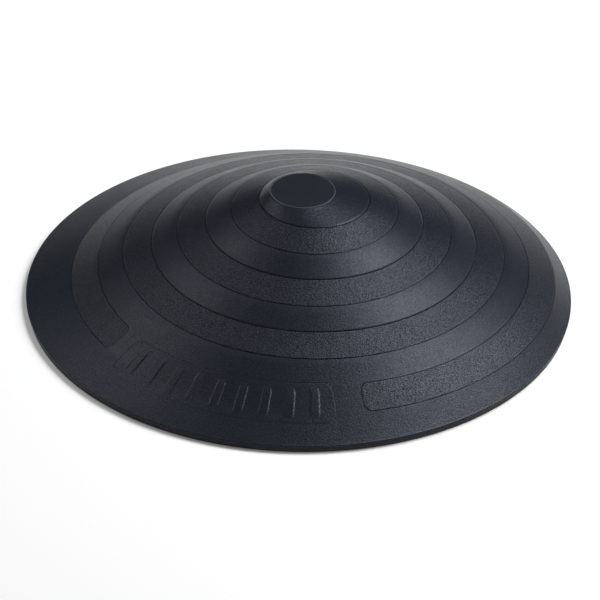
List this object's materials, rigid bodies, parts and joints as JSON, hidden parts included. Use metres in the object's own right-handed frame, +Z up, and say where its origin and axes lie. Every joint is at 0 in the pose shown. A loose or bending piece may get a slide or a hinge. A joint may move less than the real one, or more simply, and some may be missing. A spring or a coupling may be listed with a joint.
{
  "type": "balance dome trainer",
  "caption": "Low round balance dome to stand on, with let-in sandy grip bands, a flat crown disc, a plain front panel and a closed flat base with an edge ring.",
  "frame": {"origin": "centre of the rim circle, on the plane that the base stands on", "axes": "+Z up through the rim's centre, -Y to the front, where the outermost grip band is open, +X to the side that the grip bands are set over to"},
  "size_m": [0.5, 0.5, 0.116],
  "materials": {
    "shell": "satin moulded skin, blue-black",
    "grip": "coarse sandy moulded grain, blue-black",
    "crown": "fine matt, near black",
    "base_rubber": "matt moulded rubber, black",
    "plate": "fine grained moulded plastic, dark grey",
    "foam": "closed-cell foam, grey",
    "screw_steel": "zinc-plated steel"
  },
  "bodies": {
    "root": {"dome_shell": "shell", "front_panel": "shell", "crown_disc": "crown", "grip_ring_top": "grip", "grip_ring_middle": "grip", "grip_ring_lower": "grip", "grip_band_open": "grip", "foam_core": "foam", "base_ring": "base_rubber", "base_plate": "plate", "foot_pad_1": "base_rubber", "foot_pad_2": "base_rubber", "foot_pad_3": "base_rubber", "foot_pad_4": "base_rubber", "foot_pad_5": "base_rubber", "foot_pad_6": "base_rubber", "foot_pad_7": "base_rubber", "base_screw_1": "screw_steel", "base_screw_2": "screw_steel", "base_screw_3": "screw_steel", "base_screw_4": "screw_steel", "base_screw_5": "screw_steel", "base_screw_6": "screw_steel"}
  },
  "joints": []
}
